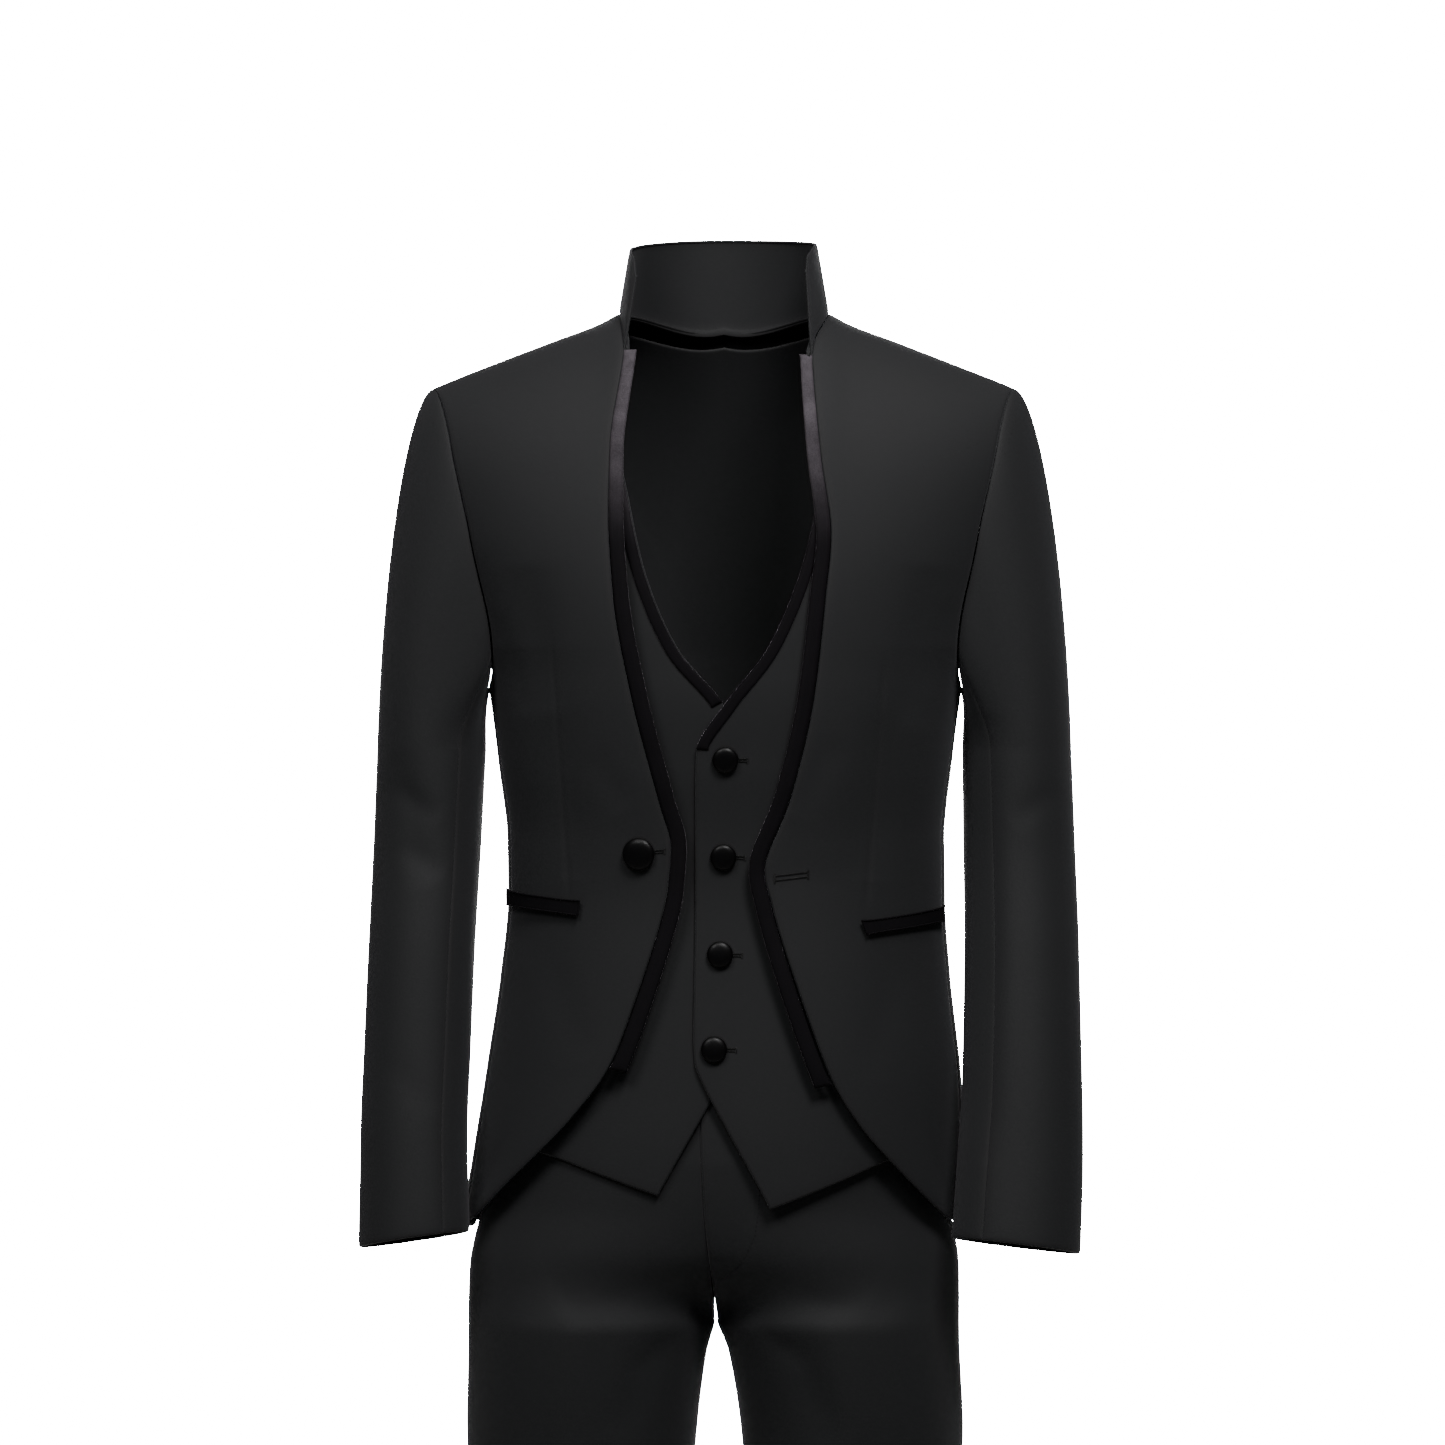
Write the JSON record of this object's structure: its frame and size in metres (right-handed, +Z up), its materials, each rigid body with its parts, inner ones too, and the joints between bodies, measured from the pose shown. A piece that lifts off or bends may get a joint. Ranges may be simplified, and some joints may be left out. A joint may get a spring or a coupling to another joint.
{
  "type": "three-piece tuxedo",
  "caption": "Black three-piece tuxedo in its worn form: velvet-trimmed cutaway jacket, V-necked waistcoat and pressed trousers, each cut piece a cloth wall.",
  "frame": {"origin": "base of the neck, midway between the two shoulder seams, where the suit hangs on its wearer", "axes": "+Z up, -Y the way the wearer faces, +X to the wearer's left"},
  "size_m": [0.546, 0.2687, 1.6169],
  "materials": {
    "suit_cloth": "fine worsted wool, matt with a faint sheen",
    "velvet": "short-pile velvet, darker than the cloth, pale at grazing angles",
    "buttons": "satin black button with a domed face"
  },
  "bodies": {
    "root": {"jacket_front_left": "suit_cloth", "jacket_front_right": "suit_cloth", "jacket_side_left": "suit_cloth", "jacket_side_right": "suit_cloth", "jacket_back_left": "suit_cloth", "jacket_back_right": "suit_cloth", "top_sleeve_left": "suit_cloth", "top_sleeve_right": "suit_cloth", "under_sleeve_left": "suit_cloth", "under_sleeve_right": "suit_cloth", "jacket_collar": "suit_cloth", "front_trim_left": "velvet", "front_trim_right": "velvet", "pocket_welt_left": "velvet", "pocket_welt_right": "velvet", "jacket_button": "buttons", "waistcoat_front_left": "suit_cloth", "waistcoat_front_right": "suit_cloth", "waistcoat_back": "suit_cloth", "neck_binding_left": "velvet", "neck_binding_right": "velvet", "waistcoat_button_1": "buttons", "waistcoat_button_2": "buttons", "waistcoat_button_3": "buttons", "waistcoat_button_4": "buttons", "trouser_front_left": "suit_cloth", "trouser_front_right": "suit_cloth", "trouser_back_left": "suit_cloth", "trouser_back_right": "suit_cloth", "waistband": "suit_cloth"}
  },
  "joints": []
}
